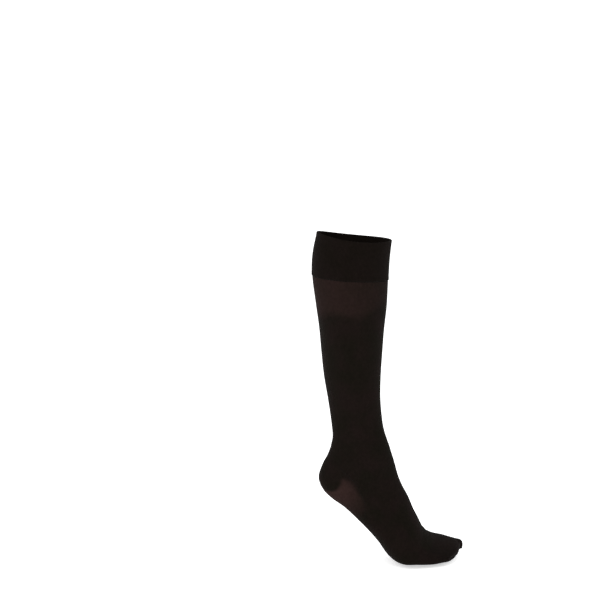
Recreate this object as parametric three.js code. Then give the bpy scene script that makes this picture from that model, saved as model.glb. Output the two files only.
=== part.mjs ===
import * as THREE from "three";

// Knee-high compression stocking with a closed toe, in its worn, hollow form on a right leg.
// The heel is lifted and the ball of the foot is on the ground.
// Units are millimetres. +Z is up, +X runs toward the toes, and -Y is the outer side of the leg.
// The origin is the middle of the top opening.

// Driving dimensions
const KNIT_WALL = 1.2; // thickness of the single knit
const BAND_WALL = 2.2; // thickness of the band, which is knitted double
const BAND_PROUD = 0.6; // how far the band stands out over the leg
const SEAM_GAP = 0.3; // clear space between two knitted sections
const RIM_SAG = 3.6; // how much lower the rim runs at the sides of the leg than straight from back to front
const COLUMNS = 40; // facets round the tube
const HEEL_COLUMNS = 6; // facets from the middle of the heel to each side of its pouch
const HEEL_REACH = 0.47; // how far the pouch reaches along a ring, as a share of the ring's depth
const HEEL_END_TURN = 0.8; // half the turn that the pouch spans where it starts and ends
const HEEL_FULLNESS = 0.75; // less than 1 gives the edge of the pouch rounder shoulders
const HEEL_FADE = 0.7; // beyond the pouch the columns even out over this share of its length
const TOE_RECEDE = 27; // how far the toe line falls back toward the outer side
const TOE_RECEDE_BEND = 1.9; // more than 1 makes it fall back more toward the outer side
const TOE_CORNER = 7; // how far the inner corner of the toe line falls back
const TOE_CORNER_FROM = 0.45; // where that corner starts, 0 being the middle of the toe and 1 its inner side
const NOSE_LENGTH = 8.5; // how far the rounded end of the toe stands out in front of its last section
const NOSE_TURN = 1.48; // how far round the end is knitted before it is sewn shut, in radians
const NOSE_NARROW = 24; // how much narrower the toe seam is than that section
const BIG_TOE_LIFT = 0.6; // how much the underside rises under the tip of the big toe
const BIG_TOE_FROM = 0.15; // where the big toe starts, 0 being the middle of the toe and 1 its inner side
const BIG_TOE_TO = 0.7;
const FOLD_RINGS = [0.3, 1.1]; // rings that round the folded edge of the band, measured from the rim
const FOLD_FLAT = 0.3; // share of the band's thickness that stays at the very edge of the fold
const PROBE = 0.4; // short step along the knit that its slope is measured over
const PROBE_TURN = 0.02; // the same round the tube, in radians

// Knitted course by course: each row gives where a course crosses the back or the sole, where it crosses the
// shin or the top of the foot, and how wide it is, all on the inner face of the knit. Courses fan out round the
// heel.
const SECTIONS = table(
  ["name", "backX", "backZ", "frontX", "frontZ", "width"],
  [
    ["rim", -49.4, 7, 52.4, -4.9, 96.2],
    ["band_middle", -55.4, -24, 49.3, -33, 99.2],
    ["band_foot", -56.3, -54, 47.7, -61, 102.6],
    ["calf", -51.2, -95, 45.9, -98, 105],
    ["lower_calf", -46.6, -129, 42.5, -131, 101],
    ["mid_leg", -43.5, -163, 40.1, -165, 94],
    ["shank", -39.7, -198, 38, -199, 84],
    ["lower_shank", -34, -232, 37.7, -232, 73],
    ["above_ankle", -29.2, -267, 41, -265, 63],
    ["ankle", -28.1, -287, 44.6, -281, 62],
    ["ankle_bones", -33.7, -309, 50, -296, 65],
    ["heel_top", -42, -325, 54, -309, 66.5],
    ["heel_tip", -47.6, -344, 58.2, -322, 66],
    ["heel_turn", -41.2, -361, 61.4, -334, 65],
    ["heel_sole", -29.4, -373, 65, -346, 65],
    ["arch", -12.4, -385.5, 71, -360, 68],
    ["waist", 5.4, -402.4, 79.2, -375.5, 75],
    ["instep", 22.6, -420.1, 86.1, -392.4, 83],
    ["ball_back", 37.4, -437.6, 93.1, -406.3, 90],
    ["ball", 50.2, -455.9, 99, -418.6, 95],
    ["toe_root", 64.6, -466, 106.6, -428.6, 95],
    ["toe_base", 86, -467.2, 118, -435.2, 92],
    ["toe_middle", 110, -468, 134, -439.8, 89],
    ["toe_end", 132, -468.2, 148, -444.2, 86],
    ["toe_nose", 149.6, -467, 159.6, -447.4, 80],
  ]
);

// Shape of the course at some of those sections: side shifts it, widest is where along its depth it is widest,
// backRound and frontRound are 2 for a round end and more for a square one, and slope is how much lower the top
// of the foot is on the outer side than on the inner one, as a share of its height.
const SHAPES = table(
  ["name", "side", "widest", "backRound", "frontRound", "slope"],
  [
    ["rim", 0, 0.47, 2.15, 1.95, 0],
    ["calf", 0, 0.44, 2.15, 1.9, 0],
    ["shank", 0, 0.46, 2.1, 1.95, 0],
    ["above_ankle", 0, 0.5, 2, 2.1, 0],
    ["ankle_bones", 0, 0.52, 1.95, 2.2, 0],
    ["heel_tip", 0, 0.5, 2.2, 2.2, 0],
    ["heel_sole", 0, 0.42, 2.4, 2.1, 0.02],
    ["waist", 0, 0.38, 2.5, 2, 0.12],
    ["ball", -3, 0.4, 2.7, 2, 0.24],
    ["toe_middle", -2, 0.42, 2.7, 2.2, 0.34],
    ["toe_nose", 0, 0.48, 2.2, 2.2, 0.32],
  ]
);

// Rings of facets: each stretch runs from one section to the next named one, in a number of steps.
const STRETCHES = table(
  ["piece", "from", "to", "steps"],
  [
    ["top_band", "rim", "band_foot", 6],
    ["leg", "band_foot", "heel_top", 20],
    ["leg", "heel_top", "heel_turn", 6],
    ["foot", "heel_turn", "waist", 7],
    ["foot", "waist", "toe_base", 8],
    ["toe", "toe_base", "toe_nose", 6],
    ["toe", "toe_nose", "toe_seam", 5],
  ]
);
const HEEL_FROM = "heel_top";
const HEEL_TO = "waist";

const MATERIALS = {
  top_band: { color: 0x0b0a0a, roughness: 0.85, metalness: 0 },
  leg: { color: 0x131011, roughness: 0.8, metalness: 0 },
  heel: { color: 0x1d1718, roughness: 0.8, metalness: 0 },
  foot: { color: 0x141112, roughness: 0.8, metalness: 0 },
  toe: { color: 0x0e0c0d, roughness: 0.85, metalness: 0 },
};

// A table becomes a list of rows whose values go by the column's name.
function table(columns, rows) {
  return rows.map((row) => Object.fromEntries(columns.map((column, i) => [column, row[i]])));
}

// How far along the stocking each section lies, measured down the middle of the tube.
function addStations(sections) {
  let station = 0;
  let before = null;
  for (const section of sections) {
    const middle = new THREE.Vector2(section.backX + section.frontX, section.backZ + section.frontZ).multiplyScalar(0.5);
    if (before) {
      station += middle.distanceTo(before);
    }
    section.station = station;
    before = middle;
  }
}

// A smooth curve through one column of a table, read at a station.
function smoothColumn(rows, column, station) {
  const last = rows.length - 1;
  let i = 0;
  while (i < last - 1 && rows[i + 1].station <= station) {
    i += 1;
  }
  const slopeAt = (k) => {
    const a = rows[Math.max(k - 1, 0)];
    const b = rows[Math.min(k + 1, last)];
    return (b[column] - a[column]) / (b.station - a.station);
  };
  const span = rows[i + 1].station - rows[i].station;
  const t = THREE.MathUtils.clamp((station - rows[i].station) / span, 0, 1);
  const t2 = t * t;
  const t3 = t2 * t;
  return (
    (2 * t3 - 3 * t2 + 1) * rows[i][column] +
    (t3 - 2 * t2 + t) * span * slopeAt(i) +
    (3 * t2 - 2 * t3) * rows[i + 1][column] +
    (t3 - t2) * span * slopeAt(i + 1)
  );
}

addStations(SECTIONS);
const stationOf = Object.fromEntries(SECTIONS.map((section) => [section.name, section.station]));
stationOf.toe_seam = stationOf.toe_nose + NOSE_LENGTH * NOSE_TURN;
for (const shape of SHAPES) {
  shape.station = stationOf[shape.name];
}

// All the measures of the course at one station.
function courseAt(station) {
  const course = {};
  for (const column of ["backX", "backZ", "frontX", "frontZ", "width"]) {
    course[column] = smoothColumn(SECTIONS, column, station);
  }
  for (const column of ["side", "widest", "backRound", "frontRound", "slope"]) {
    course[column] = smoothColumn(SHAPES, column, station);
  }
  return course;
}

// 0 behind the toes and 1 at their tips.
function toeShare(station) {
  return THREE.MathUtils.smoothstep(station, stationOf.toe_root, stationOf.toe_nose);
}

// How far the toe line falls back, from across = 1 on the inner side to -1 on the outer side.
function toeFallBack(station, across) {
  const outward = (1 - across) / 2;
  const corner = Math.max(0, across - TOE_CORNER_FROM) / (1 - TOE_CORNER_FROM);
  return toeShare(station) * (TOE_RECEDE * outward ** TOE_RECEDE_BEND + TOE_CORNER * corner ** 2);
}

// How much of the depth below the widest line is left under the big toe, whose tip lifts off the ground.
function toeDepth(station, across) {
  return 1 - BIG_TOE_LIFT * toeShare(station) * THREE.MathUtils.smoothstep(across, BIG_TOE_FROM, BIG_TOE_TO);
}

// How far the sides of the band hang down. It fades out to nothing at the foot of the band.
function rimSag(station, across) {
  return RIM_SAG * across ** 2 * (1 - THREE.MathUtils.smoothstep(station, 0, stationOf.band_foot));
}

// A point on the inner face of the knit. turn is 0 at the back or the sole, and half a circle later at the front.
function knitPoint(station, turn) {
  const course = courseAt(station);
  const along = -Math.cos(turn);
  const across = Math.sin(turn);
  const round = along < 0 ? course.backRound : course.frontRound;
  const pull = (Math.abs(along) ** round + Math.abs(across) ** round) ** (-1 / round);
  const sideways = across * pull;
  const reach = along < 0 ? course.widest * toeDepth(station, sideways) : 1 - course.widest;
  const tilt = (1 - (course.slope * (1 - sideways)) / 2) / (1 - course.slope / 2);
  const closing = Math.max(0, (station - stationOf.toe_nose) / NOSE_LENGTH);
  const height = (course.widest + along * pull * reach * Math.cos(closing)) * tilt;
  const forward = NOSE_LENGTH * Math.sin(closing) - toeFallBack(station, sideways);
  const width = course.width - NOSE_NARROW * (1 - Math.cos(closing));
  return new THREE.Vector3(
    THREE.MathUtils.lerp(course.backX, course.frontX, height) + forward,
    course.side + (sideways * width) / 2,
    THREE.MathUtils.lerp(course.backZ, course.frontZ, height) - rimSag(station, sideways)
  );
}

// The outward direction there, from two short steps along the knit.
function knitNormal(station, turn) {
  const first = Math.max(station - PROBE, 0);
  const last = Math.min(station + PROBE, stationOf.toe_seam);
  const down = knitPoint(last, turn).sub(knitPoint(first, turn));
  const round = knitPoint(station, turn + PROBE_TURN).sub(knitPoint(station, turn - PROBE_TURN));
  return new THREE.Vector3().crossVectors(round, down).normalize();
}

// The edge of the heel pouch is a round line: this is the turn at which it crosses the course at a station.
function heelTurn(station) {
  const share = (station - stationOf[HEEL_FROM]) / (stationOf[HEEL_TO] - stationOf[HEEL_FROM]);
  const plain = (HEEL_COLUMNS / COLUMNS) * 2 * Math.PI;
  const widestTurn = Math.acos(1 - 2 * HEEL_REACH);
  if (share < 0 || share > 1) {
    const away = (share < 0 ? -share : share - 1) / HEEL_FADE;
    return THREE.MathUtils.lerp(HEEL_END_TURN, plain, THREE.MathUtils.smoothstep(away, 0, 1));
  }
  return THREE.MathUtils.lerp(HEEL_END_TURN, widestTurn, Math.sin(Math.PI * share) ** HEEL_FULLNESS);
}

// The turn of each column of facets, spread so that one column follows the edge of the heel pouch.
function columnTurn(station, column) {
  const edge = heelTurn(station);
  const signed = column > COLUMNS / 2 ? column - COLUMNS : column;
  const size = Math.abs(signed);
  const rest = COLUMNS / 2 - HEEL_COLUMNS;
  const inPouch = (edge * size) / HEEL_COLUMNS;
  const beyond = edge + ((Math.PI - edge) * (size - HEEL_COLUMNS)) / rest;
  return Math.sign(signed) * (size <= HEEL_COLUMNS ? inPouch : beyond);
}

// How far the outer and the inner face of a piece stand out from the inner face of the single knit.
function wallFaces(piece, station) {
  if (piece !== "top_band") {
    return [KNIT_WALL, 0];
  }
  const half = BAND_WALL / 2;
  const middle = KNIT_WALL + BAND_PROUD - half;
  const intoFold = Math.min(station / half, 1);
  const opened = half * Math.max(FOLD_FLAT, Math.sqrt(1 - (1 - intoFold) ** 2));
  return [middle + opened, middle - opened];
}

// The rings of the whole stocking, from the rim to the toe seam, and the piece that lies under each ring.
function makeRings() {
  const rings = [{ station: 0, piece: "top_band" }];
  for (const station of FOLD_RINGS) {
    rings.push({ station, piece: "top_band" });
  }
  for (const { piece, from, to, steps } of STRETCHES) {
    rings[rings.length - 1].piece = piece;
    for (let i = 1; i <= steps; i += 1) {
      const station = THREE.MathUtils.lerp(stationOf[from], stationOf[to], i / steps);
      rings.push({ station, piece });
    }
  }
  return rings;
}

const RINGS = makeRings();

// Which piece the facet under ring i at a column belongs to.
function pieceAt(i, column) {
  if (i < 0 || i >= RINGS.length - 1) {
    return null;
  }
  const middle = (RINGS[i].station + RINGS[i + 1].station) / 2;
  const wrapped = (column + COLUMNS) % COLUMNS;
  const nearHeel = wrapped < HEEL_COLUMNS || wrapped >= COLUMNS - HEEL_COLUMNS;
  const inHeel = nearHeel && middle > stationOf[HEEL_FROM] && middle < stationOf[HEEL_TO];
  return inHeel ? "heel" : RINGS[i].piece;
}

// A vertex on the edge of a piece moves into the piece by half the gap, straight away from the seam.
function seamShift(piece, i, column) {
  const here = knitPoint(RINGS[i].station, columnTurn(RINGS[i].station, column));
  const shift = new THREE.Vector3();
  let own = 0;
  let other = 0;
  for (const [di, dj] of [[-1, -1], [-1, 0], [0, -1], [0, 0]]) {
    const owner = pieceAt(i + di, column + dj);
    if (owner === piece) {
      own += 1;
      const corner = RINGS[i + (di < 0 ? -1 : 1)].station;
      const far = column + (dj < 0 ? -1 : 1);
      const across = knitPoint(RINGS[i].station, columnTurn(RINGS[i].station, (far + COLUMNS) % COLUMNS)).sub(here);
      const down = knitPoint(corner, columnTurn(corner, (column + COLUMNS) % COLUMNS)).sub(here);
      shift.add(across.normalize()).add(down.normalize());
    } else if (owner) {
      other += 1;
    }
  }
  if (!other) {
    return new THREE.Vector3();
  }
  const stretch = own === 2 ? 1 : Math.SQRT2; // at a corner of the seam, so that both its edges keep the gap
  return shift.setLength((SEAM_GAP / 2) * stretch);
}

// One knitted section as a closed wall: outer faces, inner faces and a strip along every free edge.
function makePiece(piece) {
  const positions = [];
  const indices = [];
  const seen = new Map();
  const vertex = (i, column, side) => {
    const j = (column + COLUMNS) % COLUMNS;
    const key = `${i}/${j}/${side}`;
    if (!seen.has(key)) {
      const station = RINGS[i].station;
      const turn = columnTurn(station, j);
      const point = knitPoint(station, turn);
      point.addScaledVector(knitNormal(station, turn), wallFaces(piece, station)[side]);
      point.add(seamShift(piece, i, j));
      seen.set(key, positions.length / 3);
      positions.push(point.x, point.y, point.z);
    }
    return seen.get(key);
  };
  const place = (index) => new THREE.Vector3().fromArray(positions, index * 3);
  const face = (corners) => {
    const [a, b, c, d] = corners;
    if (corners.length === 3) {
      indices.push(a, b, c);
    } else if (place(a).distanceTo(place(c)) <= place(b).distanceTo(place(d))) {
      indices.push(a, b, c, a, c, d);
    } else {
      indices.push(a, b, d, b, c, d);
    }
  };
  for (let i = 0; i < RINGS.length - 1; i += 1) {
    for (let j = 0; j < COLUMNS; j += 1) {
      if (pieceAt(i, j) !== piece) {
        continue;
      }
      const corners = [[i, j], [i, j + 1], [i + 1, j + 1], [i + 1, j]];
      const outer = corners.map(([row, column]) => vertex(row, column, 0));
      const inner = corners.map(([row, column]) => vertex(row, column, 1));
      face(outer);
      face(inner.slice().reverse());
      const neighbours = [pieceAt(i - 1, j), pieceAt(i, j + 1), pieceAt(i + 1, j), pieceAt(i, j - 1)];
      neighbours.forEach((neighbour, k) => {
        const isToeEnd = i + 1 === RINGS.length - 1 && k === 2;
        if (neighbour !== piece && !isToeEnd) {
          const next = (k + 1) % 4;
          face([outer[next], outer[k], inner[k], inner[next]]);
        }
      });
    }
  }
  if (piece === "toe") {
    closeToe(vertex, face);
  }
  const geometry = new THREE.BufferGeometry();
  geometry.setAttribute("position", new THREE.Float32BufferAttribute(positions, 3));
  geometry.setIndex(indices);
  geometry.computeVertexNormals();
  return geometry;
}

// The toe end: the upper and lower edge of the last ring are joined across, outside and inside.
function closeToe(vertex, face) {
  const end = RINGS.length - 1;
  const half = COLUMNS / 2;
  const quarter = COLUMNS / 4;
  for (const side of [0, 1]) {
    for (let k = -quarter; k < quarter; k += 1) {
      const low = vertex(end, k, side);
      const lowNext = vertex(end, k + 1, side);
      const high = vertex(end, half - k, side);
      const highNext = vertex(end, half - k - 1, side);
      const corners = [low, lowNext, highNext, high].filter((value, at, all) => all.indexOf(value) === at);
      face(side === 0 ? corners : corners.reverse());
    }
  }
}

const stocking = new THREE.Group();
for (const [name, finish] of Object.entries(MATERIALS)) {
  const mesh = new THREE.Mesh(makePiece(name), new THREE.MeshStandardMaterial(finish));
  mesh.name = name;
  stocking.add(mesh);
}

export default stocking;
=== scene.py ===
# %% [markdown]
# ## A knee-high compression stocking, dressed for the camera
#
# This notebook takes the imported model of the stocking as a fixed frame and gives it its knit.
# Every Blender object is in metres and in the same frame as the model, so nothing has to be fitted by eye.
# The origin is the middle of the top opening, +Z is up, +X runs toward the toes and -Y is the outer side.

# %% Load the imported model
import math

import bmesh
import bpy
import numpy as np
from mathutils import Matrix, Vector


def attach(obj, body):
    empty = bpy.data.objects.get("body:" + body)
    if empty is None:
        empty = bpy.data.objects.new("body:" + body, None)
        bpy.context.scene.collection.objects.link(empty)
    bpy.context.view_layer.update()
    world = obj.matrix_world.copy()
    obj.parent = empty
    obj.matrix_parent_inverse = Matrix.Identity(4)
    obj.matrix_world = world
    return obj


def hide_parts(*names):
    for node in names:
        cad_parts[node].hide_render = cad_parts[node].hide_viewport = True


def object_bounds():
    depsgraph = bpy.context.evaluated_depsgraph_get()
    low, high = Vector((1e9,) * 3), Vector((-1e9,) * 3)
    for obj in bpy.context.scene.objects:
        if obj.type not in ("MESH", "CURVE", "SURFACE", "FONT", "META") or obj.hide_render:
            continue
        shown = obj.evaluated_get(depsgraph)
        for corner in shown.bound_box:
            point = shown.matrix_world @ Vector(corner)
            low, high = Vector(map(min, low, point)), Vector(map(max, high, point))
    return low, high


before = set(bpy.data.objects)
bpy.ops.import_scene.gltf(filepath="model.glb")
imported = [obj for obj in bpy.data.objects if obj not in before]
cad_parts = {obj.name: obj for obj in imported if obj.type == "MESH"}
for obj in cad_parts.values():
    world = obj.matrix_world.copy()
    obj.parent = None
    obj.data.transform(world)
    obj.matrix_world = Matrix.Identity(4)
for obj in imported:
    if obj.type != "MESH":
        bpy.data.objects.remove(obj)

cad_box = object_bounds()
MM = 0.001  # one millimetre in Blender's metres
print("packed nodes:", sorted(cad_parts))

# %% [markdown]
# ## The shape of the knit
#
# A stocking comes off a small circular machine as one tube, knitted course by course.
# So its shape is a table of courses: where each one crosses the back or the sole, where it crosses the shin
# or the top of the foot, and how wide it is. The courses fan out round the heel.
# Sculpting would give the same picture once, but a table can be measured, corrected and made in other sizes.
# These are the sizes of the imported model, in millimetres, so the finer knit lies on the same form. They are
# measured on the inner face of the knit, and the wall is built outwards from there.
#
# The second table holds the shape of some of those courses. `side` shifts a course, `widest` is where along
# its depth it is widest, a round end has a 2 and a squarer one more, and `slope` is how much lower the top of
# the foot is on the outer side than on the inner one.

# %% Courses of the stocking
SECTIONS = [
    # name, back x, back z, front x, front z, width
    ("rim", -49.4, 7, 52.4, -4.9, 96.2),
    ("band_middle", -55.4, -24, 49.3, -33, 99.2),
    ("band_foot", -56.3, -54, 47.7, -61, 102.6),
    ("calf", -51.2, -95, 45.9, -98, 105),
    ("lower_calf", -46.6, -129, 42.5, -131, 101),
    ("mid_leg", -43.5, -163, 40.1, -165, 94),
    ("shank", -39.7, -198, 38, -199, 84),
    ("lower_shank", -34, -232, 37.7, -232, 73),
    ("above_ankle", -29.2, -267, 41, -265, 63),
    ("ankle", -28.1, -287, 44.6, -281, 62),
    ("ankle_bones", -33.7, -309, 50, -296, 65),
    ("heel_top", -42, -325, 54, -309, 66.5),
    ("heel_tip", -47.6, -344, 58.2, -322, 66),
    ("heel_turn", -41.2, -361, 61.4, -334, 65),
    ("heel_sole", -29.4, -373, 65, -346, 65),
    ("arch", -12.4, -385.5, 71, -360, 68),
    ("waist", 5.4, -402.4, 79.2, -375.5, 75),
    ("instep", 22.6, -420.1, 86.1, -392.4, 83),
    ("ball_back", 37.4, -437.6, 93.1, -406.3, 90),
    ("ball", 50.2, -455.9, 99, -418.6, 95),
    ("toe_root", 64.6, -466, 106.6, -428.6, 95),
    ("toe_base", 86, -467.2, 118, -435.2, 92),
    ("toe_middle", 110, -468, 134, -439.8, 89),
    ("toe_end", 132, -468.2, 148, -444.2, 86),
    ("toe_nose", 149.6, -467, 159.6, -447.4, 80),
]
SHAPES = [
    # name, side, widest, back round, front round, slope
    ("rim", 0, 0.47, 2.15, 1.95, 0),
    ("calf", 0, 0.44, 2.15, 1.9, 0),
    ("shank", 0, 0.46, 2.1, 1.95, 0),
    ("above_ankle", 0, 0.5, 2, 2.1, 0),
    ("ankle_bones", 0, 0.52, 1.95, 2.2, 0),
    ("heel_tip", 0, 0.5, 2.2, 2.2, 0),
    ("heel_sole", 0, 0.42, 2.4, 2.1, 0.02),
    ("waist", 0, 0.38, 2.5, 2, 0.12),
    ("ball", -3, 0.4, 2.7, 2, 0.24),
    ("toe_middle", -2, 0.42, 2.7, 2.2, 0.34),
    ("toe_nose", 0, 0.48, 2.2, 2.2, 0.32),
]
RIM_SAG = 3.6  # how much lower the rim runs at the sides than straight from back to front
NOSE_LENGTH = 8.5  # how far the rounded end of the toe stands out in front of its last course
NOSE_TURN = 1.48  # how far round that end is knitted before it is sewn shut, in radians
NOSE_NARROW = 24  # how much narrower the toe seam is than that course
TOE_RECEDE = 27  # how far the toe line falls back toward the outer side
TOE_RECEDE_BEND = 1.9  # more than 1 makes it fall back more toward the outer side
TOE_CORNER = 7  # how far its inner corner falls back
TOE_CORNER_FROM = 0.45  # where that corner starts, 0 being the middle of the toe and 1 its inner side
BIG_TOE_LIFT = 0.6  # how much the underside rises under the tip of the big toe
BIG_TOE_FROM = 0.15  # where the big toe starts, counted in the same way
BIG_TOE_TO = 0.7  # where it is lifted all the way

middles = np.array([((s[1] + s[3]) / 2, (s[2] + s[4]) / 2) for s in SECTIONS])
steps = np.linalg.norm(np.diff(middles, axis=0), axis=1)
SECTION_STATIONS = np.concatenate([[0], np.cumsum(steps)])
STATION = {s[0]: float(at) for s, at in zip(SECTIONS, SECTION_STATIONS)}
STATION["toe_seam"] = STATION["toe_nose"] + NOSE_LENGTH * NOSE_TURN
SHAPE_STATIONS = np.array([STATION[s[0]] for s in SHAPES])
print(f"{STATION['toe_seam']:.0f} mm from the rim to the toe seam, down the middle of the tube")

# %% [markdown]
# Between two courses of the table the shape runs on a smooth curve. A Hermite curve passes through every row,
# so a number in the table is also a size on the stocking. `station` is the distance down the middle of the
# tube, and `turn` goes round it: 0 is the back or the sole, pi is the shin or the top of the foot.

# %% A smooth curve through one column of a table
def smooth_column(stations, values, at):
    values = np.asarray(values, float)
    last = len(values) - 1
    k = np.arange(last + 1)
    before, after = np.maximum(k - 1, 0), np.minimum(k + 1, last)
    slope = (values[after] - values[before]) / (stations[after] - stations[before])
    i = np.clip(np.searchsorted(stations, at, side="right") - 1, 0, last - 1)
    span = stations[i + 1] - stations[i]
    t = np.clip((at - stations[i]) / span, 0, 1)
    t2, t3 = t * t, t * t * t
    return (
        (2 * t3 - 3 * t2 + 1) * values[i]
        + (t3 - 2 * t2 + t) * span * slope[i]
        + (3 * t2 - 2 * t3) * values[i + 1]
        + (t3 - t2) * span * slope[i + 1]
    )


def smoothstep(x, low, high):
    t = np.clip((x - low) / (high - low), 0, 1)
    return t * t * (3 - 2 * t)


# %% A point on the inner face of the knit, and the outward direction there
def knit_point(station, turn):
    station, turn = np.broadcast_arrays(np.asarray(station, float), np.asarray(turn, float))
    back_x, back_z, front_x, front_z, width = (
        smooth_column(SECTION_STATIONS, [s[c] for s in SECTIONS], station) for c in range(1, 6)
    )
    side, widest, back_round, front_round, slope = (
        smooth_column(SHAPE_STATIONS, [s[c] for s in SHAPES], station) for c in range(1, 6)
    )
    along, across = -np.cos(turn), np.sin(turn)
    power = np.where(along < 0, back_round, front_round)
    pull = (np.abs(along) ** power + np.abs(across) ** power) ** (-1 / power)
    sideways = across * pull
    toe = smoothstep(station, STATION["toe_root"], STATION["toe_nose"])
    lift = 1 - BIG_TOE_LIFT * toe * smoothstep(sideways, BIG_TOE_FROM, BIG_TOE_TO)
    reach = np.where(along < 0, widest * lift, 1 - widest)
    tilt = (1 - slope * (1 - sideways) / 2) / (1 - slope / 2)
    closing = np.maximum(0, (station - STATION["toe_nose"]) / NOSE_LENGTH)
    height = (widest + along * pull * reach * np.cos(closing)) * tilt
    corner = np.maximum(0, sideways - TOE_CORNER_FROM) / (1 - TOE_CORNER_FROM)
    fall_back = toe * (TOE_RECEDE * ((1 - sideways) / 2) ** TOE_RECEDE_BEND + TOE_CORNER * corner**2)
    forward = NOSE_LENGTH * np.sin(closing) - fall_back
    width = width - NOSE_NARROW * (1 - np.cos(closing))
    x = back_x + (front_x - back_x) * height + forward
    sag = RIM_SAG * sideways**2 * (1 - smoothstep(station, 0, STATION["band_foot"]))
    z = back_z + (front_z - back_z) * height - sag
    return np.stack([x, side + sideways * width / 2, z], axis=-1)


PROBE = 0.4  # short step along the knit that its slope is measured over, in millimetres
PROBE_TURN = 0.02  # the same round the tube, in radians


def knit_normal(station, turn):
    station, turn = np.broadcast_arrays(np.asarray(station, float), np.asarray(turn, float))
    last = np.minimum(station + PROBE, STATION["toe_seam"])
    down = knit_point(last, turn) - knit_point(np.maximum(station - PROBE, 0), turn)
    round_it = knit_point(station, turn + PROBE_TURN) - knit_point(station, turn - PROBE_TURN)
    normal = np.cross(round_it, down)
    return normal / np.linalg.norm(normal, axis=-1, keepdims=True)


for course in ("calf", "ankle"):
    ring = knit_point(STATION[course], np.linspace(0, 2 * math.pi, 200))
    print(f"{course} girth {np.linalg.norm(np.diff(ring, axis=0), axis=1).sum():.0f} mm inside the knit")

# %% [markdown]
# ## Soft creases
#
# Compression knit is pulled tight, so it shows next to no folds. Where the foot bends it still gathers a
# little: at the root of the toes, in front of the ankle and above the heel. Each row is one crease, uneven in
# length and depth: a soft trough with a low ridge beside it. The end of the toe pouch also
# dips between the first toe and the others, and the whole wall wavers very slightly, as cloth does.
# All of this is worked into the points of the wall and not into a bump, so it also shows against the light.

# %% Creases and dips of the wall
CREASES = [
    # at section, mm further on, middle turn in degrees, half its length in degrees, depth, breadth, slant
    ("ball", 4, 176, 58, 0.42, 3.0, 6),
    ("ball", 11, 196, 40, 0.28, 2.4, -7),
    ("toe_root", 3, 164, 46, 0.34, 2.8, 2),
    ("ball_back", 7, 205, 34, 0.18, 2.6, 9),
    ("ankle_bones", -4, 186, 46, 0.26, 3.6, 11),
    ("ankle_bones", 6, 170, 34, 0.2, 3.0, -8),
    ("heel_tip", 3, 190, 40, 0.22, 3.2, 8),
    ("ankle", 3, -8, 50, 0.18, 3.6, -6),
    ("ankle", 12, 12, 40, 0.22, 3.0, 8),
]
CREASE_RUNS_OUT = 0.25  # where a crease starts to run out, as a share of half its length
RIDGE = 0.5  # height of the ridge beside a crease, as a share of the crease's depth
RIDGE_AWAY = 1.8  # how far it lies from the middle of the crease, in breadths of the crease
RIDGE_BREADTH = 1.1  # its own breadth, in breadths of the crease
TOE_DIP = 3.6  # how far the end of the pouch sits back beside the first toe
TOE_DIP_ALONG = (-9, 7)  # where the dip starts and is deepest, in millimetres past the last course
TOE_DIP_INNER = (0.3, 0.54)  # where it ends inward, 0 being the middle of the toe and 1 its inner side
TOE_DIP_OUTER = (-0.5, 0.25)  # where it runs out toward the outer side
WAVER = 0.22  # how much the wall wavers
WAVER_LENGTHS = (41, 67)  # how slowly it does so down the tube, in millimetres for each radian


def waver(station, turn):
    first, second = WAVER_LENGTHS
    return WAVER * np.sin(station / first + 2 * np.sin(turn)) * np.sin(2 * turn + station / second)


def relief(station, turn):
    """How far the wall stands out from the plain form, in millimetres."""
    out = np.zeros(np.broadcast(station, turn).shape)
    for section, further, middle, half, depth, breadth, slant in CREASES:
        away = (turn - math.radians(middle) + math.pi) % (2 * math.pi) - math.pi
        from_line = station - STATION[section] - further - slant * away
        fade = 1 - smoothstep(np.abs(away), CREASE_RUNS_OUT * math.radians(half), math.radians(half))
        trough = np.exp(-((from_line / breadth) ** 2))
        ridge = np.exp(-(((from_line - RIDGE_AWAY * breadth) / (RIDGE_BREADTH * breadth)) ** 2))
        out += depth * fade * (RIDGE * ridge - trough)
    toe = smoothstep(station - STATION["toe_nose"], *TOE_DIP_ALONG)
    dip = smoothstep(np.sin(turn), *TOE_DIP_OUTER) * (1 - smoothstep(np.sin(turn), *TOE_DIP_INNER))
    return out - TOE_DIP * toe * dip + waver(station, turn)


# %% [markdown]
# ## The heel pouch
#
# The heel is knitted back and forth, so its edge, the gore line, isn't a course: it swings forward round the
# heel and back. The columns of the mesh are spread so that one of them follows that line on each side. The
# pouch then gets its own piece with a clean edge, and no boolean cut is needed.

# %% Columns that follow the edge of the pouch
COLUMNS = 128  # points round the tube
HEEL_COLUMNS = 19  # columns from the middle of the heel to each side of its pouch
HEEL_REACH = 0.47  # how far the pouch reaches along a course, as a share of its depth
HEEL_END_TURN = 0.8  # half the turn that the pouch spans where it starts and ends
HEEL_FULLNESS = 0.75  # less than 1 gives the edge of the pouch rounder shoulders
HEEL_FADE = 0.7  # beyond the pouch the columns even out over this share of its length


def heel_turn(station):
    share = (station - STATION["heel_top"]) / (STATION["waist"] - STATION["heel_top"])
    plain = HEEL_COLUMNS / COLUMNS * 2 * math.pi
    widest = math.acos(1 - 2 * HEEL_REACH)
    away = np.where(share < 0, -share, share - 1) / HEEL_FADE
    outside = HEEL_END_TURN + (plain - HEEL_END_TURN) * smoothstep(away, 0, 1)
    arch = np.sin(math.pi * np.clip(share, 0, 1)) ** HEEL_FULLNESS
    inside = HEEL_END_TURN + (widest - HEEL_END_TURN) * arch
    return np.where((share < 0) | (share > 1), outside, inside)


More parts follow.
